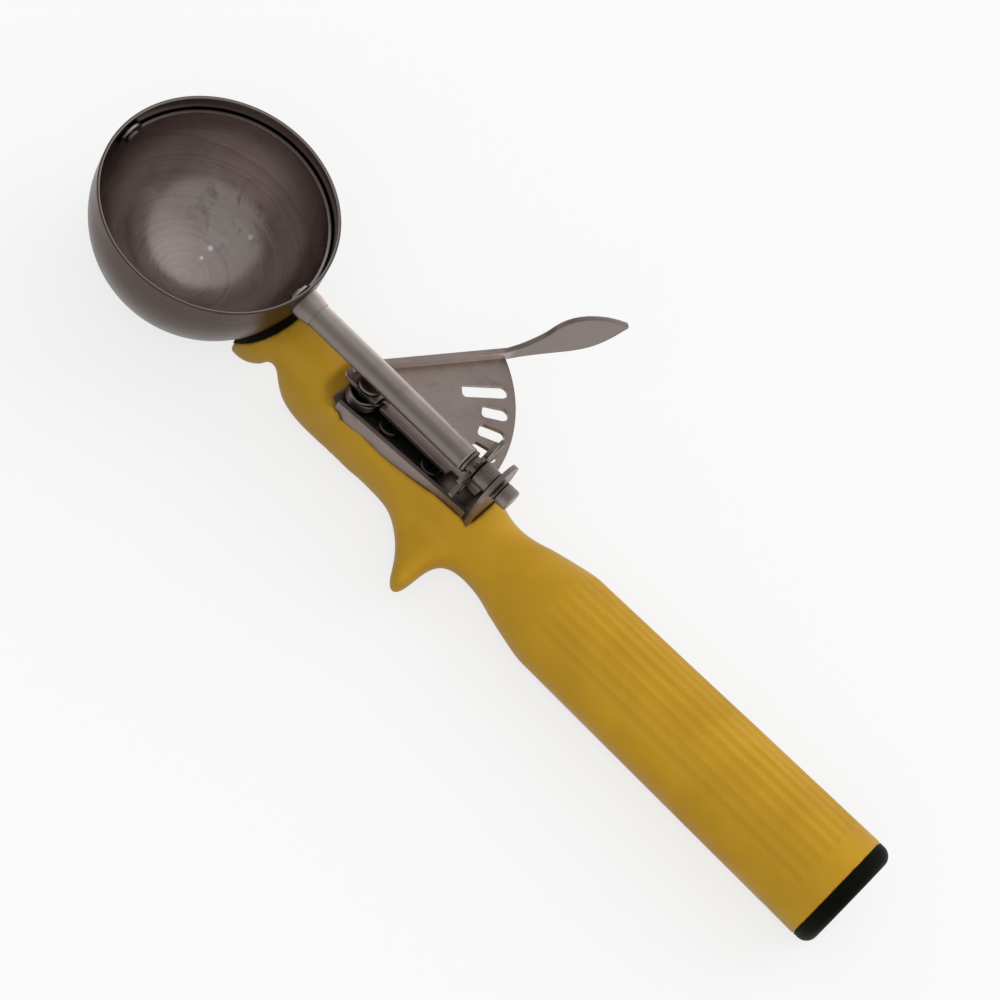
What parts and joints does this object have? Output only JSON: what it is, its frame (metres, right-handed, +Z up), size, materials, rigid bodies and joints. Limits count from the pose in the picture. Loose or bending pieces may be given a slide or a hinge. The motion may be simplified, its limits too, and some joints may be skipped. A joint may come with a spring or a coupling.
{
  "type": "lever ice cream scoop",
  "caption": "Thumb-lever ice cream scoop: half-ball steel bowl with a sweeping blade, slotted sector and star wheel, finger hook and grooved yellow handle.",
  "frame": {"origin": "centre of the bowl's ball, on the axis of the sweep shaft", "axes": "+X along the shaft towards the handle's butt, +Y to the thumb lever's side, +Z up out of the bowl's mouth"},
  "size_m": [0.2255, 0.0786, 0.0428],
  "materials": {
    "yellow_plastic": "satin moulded",
    "black_plastic": "matt moulded",
    "bearing_plastic": "matt",
    "bowl_steel": "spun, dulled by use",
    "blade_steel": "tumbled",
    "pressed_steel": "tumbled",
    "turned_steel": "turned",
    "spring_steel": "drawn wire"
  },
  "bodies": {
    "handle": {"handle_body": "yellow_plastic", "end_cap": "black_plastic", "bowl": "bowl_steel", "bowl_seat_pad": "black_plastic", "bowl_tang": "pressed_steel", "bowl_collar": "turned_steel", "shaft_sleeve": "turned_steel", "sleeve_front_bush": "bearing_plastic", "sleeve_rear_bush": "bearing_plastic", "gear_frame": "pressed_steel", "frame_screws": "turned_steel", "lever_pivot_pin": "turned_steel", "pivot_spacer": "turned_steel", "pivot_rivet_washer": "turned_steel", "far_pivot_pin": "turned_steel", "return_spring": "spring_steel"},
    "blade_shaft": {"drive_shaft": "turned_steel", "scraper_blade": "blade_steel", "star_wheel": "pressed_steel", "wheel_hub": "turned_steel", "wheel_pin": "turned_steel", "thrust_washer": "pressed_steel", "end_washer": "pressed_steel", "shaft_end_nut": "turned_steel"},
    "lever": {"thumb_lever": "pressed_steel", "lever_bush": "turned_steel"}
  },
  "joints": [
    {"name": "lever_press", "type": "hinge", "parent": "handle", "child": "lever", "pos_m": [0.04905, 0, -0.0064], "axis": [0, 0, -1], "range_deg": [0, 36], "stiffness_Nm_per_rad": 0.12, "springref_deg": -34.38, "deforming": ["return_spring"]},
    {"name": "blade_sweep", "type": "hinge", "parent": "handle", "child": "blade_shaft", "pos_m": [0, 0, 0], "axis": [-1, 0, 0], "range_deg": [0, 152]}
  ],
  "couplings": [
    {"joint": "blade_sweep", "follows": "lever_press", "ratio": 4.2056}
  ]
}
